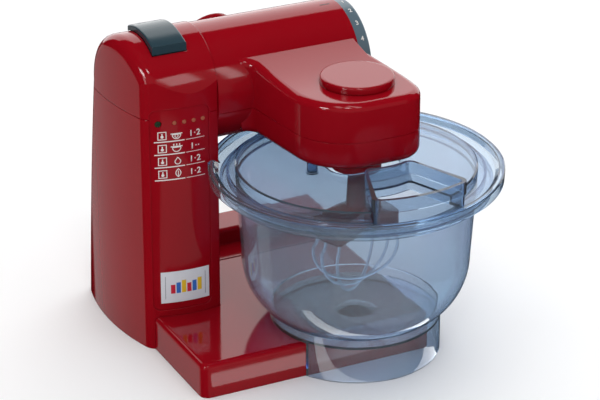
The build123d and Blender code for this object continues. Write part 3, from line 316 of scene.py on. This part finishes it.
def divide(cuts):
    """Divides the active sheet so that it can follow a bow."""
    bpy.ops.object.mode_set(mode="EDIT")
    bpy.ops.mesh.select_all(action="SELECT")
    bpy.ops.mesh.subdivide(number_cuts=cuts)
    bpy.ops.object.mode_set(mode="OBJECT")


def upright_sheet(name, left, right, low, high, cuts=0):
    """A flat sheet that faces the front."""
    middle = ((left + right) / 2, PANEL_FRONT, (low + high) / 2)
    bpy.ops.mesh.primitive_plane_add(size=1.0, location=middle, rotation=(math.pi / 2, 0, 0))
    sheet = bpy.context.object
    sheet.scale = (right - left, high - low, 1)
    fix_shape(sheet, name)
    divide(cuts)
    return sheet


def upright_disc(name, x, z, radius, corners=24):
    """A flat disc that faces the front."""
    bpy.ops.mesh.primitive_circle_add(vertices=corners, radius=radius, fill_type="NGON",
                                      location=(x, PANEL_FRONT, z), rotation=(math.pi / 2, 0, 0))
    return fix_shape(bpy.context.object, name)


def outline_of(piece, stroke=STROKE):
    """Leaves only a stroke's width of a flat shape along its edge."""
    bpy.context.view_layer.objects.active = piece
    bpy.ops.object.mode_set(mode="EDIT")
    bpy.ops.mesh.select_all(action="SELECT")
    bpy.ops.mesh.inset(thickness=stroke)
    bpy.ops.mesh.delete(type="FACE")
    bpy.ops.object.mode_set(mode="OBJECT")
    return piece


def joined(name, pieces):
    """Makes one piece of several."""
    bpy.ops.object.select_all(action="DESELECT")
    for piece in pieces:
        piece.select_set(True)
    bpy.context.view_layer.objects.active = pieces[0]
    if len(pieces) > 1:
        bpy.ops.object.join()
    whole = bpy.context.object
    whole.name = name
    return whole


def ink_or_painted_shade(piece, ink, body="stand"):
    """Gives a film its material and its place on a body: ink for the prints, painted shade for the pointer
    mark.
    """
    piece.data.materials.clear()
    piece.data.materials.append(ink)
    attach(piece, body)
    bpy.ops.object.select_all(action="DESELECT")


def reshape(piece, rule):
    """Moves each corner of a shape by a rule from its place."""
    for corner in piece.data.vertices:
        corner.co = rule(corner.co)
    return piece


def square_sign(x, z, half=0.0031, thin=0.0004):
    """A square frame with a short stem and a knob in it."""
    square = outline_of(upright_sheet("square", x - half, x + half, z - half, z + half))
    stem = upright_sheet("stem", x - thin, x + thin, z - thin, z + 0.0018)
    knob = upright_disc("knob", x, z - 0.0008, radius=0.0011, corners=12)
    return joined("square_sign", [square, stem, knob])


def bowl_sign(x, z, comb, thin=0.0004, tooth_pitch=0.0021, rim_half=0.0042):
    """A bowl's outline under its rim, with a swirl in it or three teeth of a comb over it."""
    rim_low, rim_high = z + 0.0006, z + 0.0013
    tooth_low, tooth_high = z + 0.0016, z + 0.0031

    def half(co):
        return Vector((co.x, co.y, min(co.z, rim_low)))

    bowl = outline_of(reshape(upright_disc("bowl", x, z, radius=0.0033), half))
    pieces = [bowl, upright_sheet("rim", x - rim_half, x + rim_half, rim_low, rim_high)]
    if comb:
        for i in range(3):
            tooth = x + (i - 1) * tooth_pitch
            pieces.append(upright_sheet("tooth", tooth - thin, tooth + thin, tooth_low, tooth_high))
    else:
        swirl = upright_disc("swirl", x, z - 0.0009, radius=0.0014, corners=16)
        pieces.append(outline_of(swirl, stroke=0.0005))
    return joined("bowl_sign", pieces)


def drop_sign(x, z, radius=0.0024, tip=0.0022):
    """A drop: a round outline pulled to a point at its top."""
    def pull(co):
        up = max(co.z - z, 0.0) / radius
        return Vector((x + (co.x - x) * (1 - 0.45 * up), co.y, co.z + tip * up ** 3))

    drop = reshape(upright_disc("drop", x, z - 0.0006, radius), pull)
    return joined("drop_sign", [outline_of(drop)])


def leaf_sign(x, z, radius=0.0030, slim=0.72, tall=1.12, thin=0.0003):
    """A leaf: a round outline narrowed to both ends, with its rib."""
    def pull(co):
        up = abs(co.z - z) / radius
        return Vector((x + (co.x - x) * slim * (1 - 0.5 * up ** 2), co.y, z + (co.z - z) * tall))

    leaf = outline_of(reshape(upright_disc("leaf", x, z, radius), pull))
    rib = upright_sheet("rib", x - thin, x + thin, z - radius, z + 0.0016)
    return joined("leaf_sign", [leaf, rib])


def plain_numbers(text, x, z, height):
    """Plain numbers, set upright in front of the panel."""
    bpy.ops.object.text_add(location=(x, PANEL_FRONT, z), rotation=(math.pi / 2, 0, 0))
    letters = bpy.context.object.data
    letters.body = text
    letters.size = height / CAPITAL_SHARE
    letters.align_x = "CENTER"
    letters.align_y = "CENTER"
    letters.offset = FACE_WEIGHT
    letters.space_character = LETTER_GAP
    bpy.ops.object.convert(target="MESH")
    return fix_shape(bpy.context.object, "numbers")


table_rows = []
for row, rule_z in enumerate(TABLE_RULES_Z):
    table_rows.append(upright_sheet("thick_rule", *THICK_RULE, rule_z - 0.0003, rule_z + 0.0005, RULE_CUTS))
    table_rows.append(upright_sheet("thin_rule", *THIN_RULE, rule_z - 0.0001, rule_z + 0.0003, RULE_CUTS))
    table_rows.append(square_sign(SQUARE_X, rule_z + SQUARE_UP))
    if row < 2:
        table_rows.append(bowl_sign(BOWL_X, rule_z + BOWL_UP, comb=row == 1))
    elif row == 2:
        table_rows.append(drop_sign(DROP_X, rule_z + DROP_UP))
    else:
        table_rows.append(leaf_sign(LEAF_X, rule_z + LEAF_UP))
    row_text = "1··" if row == 1 else "1·2"
    table_rows.append(plain_numbers(row_text, NUMBERS_X, rule_z + NUMBERS_UP, NUMBERS_HEIGHT))
print_ink = moulding("white_print_ink", (0.80, 0.78, 0.76), (0.70, 0.67, 0.65), gloss=0.4,
                     patchiness=0.1, grain=900.0, edge=0)
ink_or_painted_shade(film_on(joined("printed_table", table_rows), "front_panel"), print_ink)

# Sticker low on the panel: coated paper, stuck on by hand, a little thicker than the print.
# It carries a row of plain coloured bars between two thin grey lines.

STICKER = (-0.1292, -0.0929, 0.0363, 0.0610)
STICKER_FILM = 0.00012
STICKER_INK_FILM = 0.0002
STICKER_GRAIN = 700.0
FIRST_BAR_LEFT = -0.1222
BAR_PITCH = 0.0040
BAR_WIDTH = 0.0032
BAR_LOW = 0.0435
BAR_HIGH = 0.0505
BAR_RISE = 0.0014
GREY_LINES_X = (-0.1262, -0.0962)
GREY_LINE_WIDTH = 0.0003
GREY_LINE_LOW = 0.0395
GREY_LINE_HIGH = 0.0575
BAR_INKS = (("red_bars", (0.62, 0.02, 0.05), (0, 3)), ("blue_bars", (0.03, 0.16, 0.55), (1, 4)),
            ("yellow_bars", (0.80, 0.52, 0.03), (2, 5)))

sticker_paper = moulding("sticker_paper", (0.72, 0.75, 0.79), (0.64, 0.67, 0.72), gloss=0.32,
                         patchiness=0.15, grain=500.0, bump=0.03, edge=0)
sticker = film_on(upright_sheet("plain_sticker", *STICKER, cuts=18), "front_panel", STICKER_FILM)
ink_or_painted_shade(sticker, sticker_paper)
for ink_name, colour, places in BAR_INKS:
    bars = []
    for place in places:
        left = FIRST_BAR_LEFT + place * BAR_PITCH
        top = BAR_HIGH + BAR_RISE * (place % 3)
        bars.append(upright_sheet("bar", left, left + BAR_WIDTH, BAR_LOW, top, cuts=6))
    bars_ink = moulding(ink_name, colour, tuple(0.85 * c for c in colour), gloss=0.3,
                        patchiness=0.1, grain=STICKER_GRAIN, edge=0)
    ink_or_painted_shade(film_on(joined(ink_name, bars), "front_panel", STICKER_INK_FILM), bars_ink)
grey_lines = [upright_sheet("line", x, x + GREY_LINE_WIDTH, GREY_LINE_LOW, GREY_LINE_HIGH, cuts=6)
              for x in GREY_LINES_X]
grey_ink = moulding("grey_print_ink", (0.16, 0.17, 0.2), (0.12, 0.13, 0.15), gloss=0.4,
                    patchiness=0.1, grain=STICKER_GRAIN, edge=0)
ink_or_painted_shade(film_on(joined("sticker_lines", grey_lines), "front_panel", STICKER_INK_FILM), grey_ink)

# Lamps: five clear pipes with polished round tips, pushed through the panel from the board behind
# it, the larger one green and the four small ones amber.

dress(moulding("green_lamp", (0.020, 0.040, 0.020), (0.015, 0.030, 0.015), gloss=0.10), "power_lamp")
dress(moulding("amber_lamp", (0.42, 0.13, 0.07), (0.30, 0.06, 0.04), gloss=0.10), "indicator_lamps")
dress(moulding("circuit_laminate", (0.02, 0.12, 0.05), (0.015, 0.09, 0.04), gloss=0.4), "circuit_board")

# Release button: a slate grey moulding that slides in the head. The lever below it and the
# swivel's parts are moulded in black plastic, as are the gear plate and the switch.

slate_button_plastic = moulding("slate_button_plastic", (0.026, 0.054, 0.070), (0.021, 0.045, 0.060),
                                gloss=0.18)
dress(slate_button_plastic, "release_button")
black_plastic = moulding("black_plastic", (0.02, 0.02, 0.022), (0.014, 0.014, 0.016), gloss=0.4)
dress(black_plastic, "latch_lever", "pivot_bush", "arm_journal", "ratchet_disc", "gear_plate",
      "rotary_switch")

# Arm: two red shells that swing on the journal, screwed together along the seam, with a collar
# round the drive and two snapped-in caps whose rims are well rounded.

CAP_EDGE = 0.0024

dress(red_plastic, "arm_upper_shell", "arm_lower_shell", "drive_collar")
cap_plastic = moulding("red_cap_plastic", RED, DEEP_RED, RED_GLOSS, edge=CAP_EDGE)
dress(cap_plastic, "drive_cover", "rear_drive_cover")

# Pointer mark on the barrel's end: a short bar, an engraved groove drawn as a thin dark red film
# whose colour is painted shade. The dial's number stands against it. It swings with the arm.

BARREL_Y, BARREL_Z = 0.0914, 0.1870
MARK_X = 0.0190
MARK_DEGREES = 93.9
MARK_RADIUS = 0.0427
MARK_LENGTH = 0.0076
MARK_WIDTH = 0.0014


def round_place(x, degrees, radius):
    """A place round the barrel or the dial, by its angle from the back over the top."""
    angle = math.radians(degrees)
    return (x, BARREL_Y + radius * math.cos(angle), BARREL_Z + radius * math.sin(angle))


bpy.ops.mesh.primitive_plane_add(size=1.0, location=round_place(MARK_X, MARK_DEGREES, MARK_RADIUS),
                                 rotation=(math.radians(MARK_DEGREES - 90.0), 0, 0))
mark = bpy.context.object
mark.scale = (MARK_LENGTH, MARK_WIDTH, 1)
fix_shape(mark, "pointer_mark")
divide(4)
# The mark's dark red is painted shade of an engraved groove, not ink.
groove_shade_paint = moulding("painted_groove_shade", (0.055, 0.004, 0.008), (0.04, 0.003, 0.006), gloss=0.35,
                    patchiness=0.1, grain=900.0, edge=0)
ink_or_painted_shade(film_on(mark, "arm_upper_shell", from_front=False), groove_shade_paint, "arm")

# Drive in the arm: a small motor, three moulded gears on a steel axle, and the square-cut shaft
# in its two bushes.

dress(bright_metal("motor_can", (0.5, 0.5, 0.5), gloss=0.28), "motor")
gear_plastic = moulding("gear_plastic", (0.72, 0.70, 0.64), (0.66, 0.64, 0.58), gloss=0.38)
dress(gear_plastic, "motor_pinion", "idler_gear", "drive_gear", "drive_shaft", "shaft_bushes")

# Whisk: a maroon carrier pushed onto the shaft, with three looped wires of clear plastic set into
# its fans.

maroon_plastic = moulding("maroon_plastic", (0.17, 0.008, 0.014), (0.13, 0.006, 0.011), gloss=0.16)
dress(maroon_plastic, "whisk_carrier")


def clear_plastic(name, colour, deep, gloss, haze, dye=None, strength=0.0):
    """A clear moulding, dyed through: the longer light's way in it, the deeper its colour.

    Shadow rays pass it, and most of what it would add to a glossy face's reflection is left out,
    because the table seen through it would stand there as a hard white patch.
    """
    material = moulding(name, colour, deep, gloss, patchiness=0.03, grain=40.0, bump=0.03, edge=0)
    tree = material.node_tree
    new, link = tree.nodes.new, tree.links.new
    shader = tree.nodes["Principled BSDF"]
    surface = tree.nodes["Material Output"]
    shader.inputs["Transmission Weight"].default_value = 1.0 - haze
    shader.inputs["IOR"].default_value = 1.5
    rays = new("ShaderNodeLightPath")
    clear = new("ShaderNodeBsdfTransparent")
    clear.inputs["Color"].default_value = (0.85, 0.85, 0.85, 1)

    def worked(operation, first, second):
        step = new("ShaderNodeMath")
        step.operation = operation
        link(first, step.inputs[0])
        if isinstance(second, float):
            step.inputs[1].default_value = second
        else:
            link(second, step.inputs[1])
        return step.outputs["Value"]

    outside = worked("LESS_THAN", rays.outputs["Transmission Depth"], 0.5)
    mirrored = worked("MULTIPLY", rays.outputs["Is Glossy Ray"], outside)
    left_out = worked("MULTIPLY", mirrored, 0.88)
    choose = new("ShaderNodeMixShader")
    link(worked("MAXIMUM", rays.outputs["Is Shadow Ray"], left_out), choose.inputs[0])
    link(shader.outputs["BSDF"], choose.inputs[1])
    link(clear.outputs["BSDF"], choose.inputs[2])
    link(choose.outputs["Shader"], surface.inputs["Surface"])
    if dye:
        inside = new("ShaderNodeVolumeAbsorption")
        inside.inputs["Color"].default_value = (*dye, 1)
        inside.inputs["Density"].default_value = strength
        link(inside.outputs["Volume"], surface.inputs["Volume"])
    return material


wire_plastic = clear_plastic("wire_plastic", (0.74, 0.82, 0.92), (0.70, 0.78, 0.88), gloss=0.10, haze=0.15)
dress(wire_plastic, "whisk_wires")

# Bowl and lid: two mouldings of clear polystyrene, dyed blue-grey. The lid has the arm's slot, the chute
# and the peg, and rests on the bowl's rim. The bowl's colour drifts between pink and green: a painted sheen
# of the tints that the stress in the moulding shows in light.

BOWL_DYE = (0.12, 0.38, 0.64)

# Pink and green drift: painted sheen of stress tints.
bowl_plastic = clear_plastic("bowl_plastic", (1.0, 0.93, 0.99), (0.90, 1.0, 0.97), gloss=0.03,
                             haze=0.06, dye=BOWL_DYE, strength=235.0)
dress(bowl_plastic, "bowl")
lid_plastic = clear_plastic("lid_plastic", (0.96, 0.96, 0.97), (0.90, 0.97, 0.97), gloss=0.03,
                            haze=0.05, dye=BOWL_DYE, strength=290.0)
dress(lid_plastic, "lid")

# Speed dial: a slate grey moulding on the barrel's end, pressed on its shaft, with the numbers
# 1 to 4 pad-printed in white round its rim.

DIAL_NUMBERS = (("1", 92.5), ("2", 110.0), ("3", 127.0), ("4", 144.6))
DIAL_NUMBERS_X = 0.0341
DIAL_NUMBERS_RADIUS = 0.0417
DIAL_NUMBERS_SIZE = 0.0050

slate_dial_plastic = moulding("slate_dial_plastic", (0.105, 0.155, 0.19), (0.09, 0.135, 0.17), gloss=0.22)
dress(slate_dial_plastic, "speed_dial")
dress(black_plastic, "dial_shaft")
for number, degrees in DIAL_NUMBERS:
    bpy.ops.object.text_add(location=round_place(DIAL_NUMBERS_X, degrees, DIAL_NUMBERS_RADIUS),
                            rotation=(math.radians(degrees - 90.0), 0, 0))
    numeral = bpy.context.object
    numeral.data.body = number
    numeral.data.size = DIAL_NUMBERS_SIZE
    numeral.data.align_x = "CENTER"
    numeral.data.align_y = "CENTER"
    numeral.data.offset = FACE_WEIGHT
    bpy.ops.object.convert(target="MESH")
    numeral = fix_shape(bpy.context.object, "dial_number_" + number)
    ink_or_painted_shade(film_on(numeral, "speed_dial", from_front=False), print_ink, "dial")
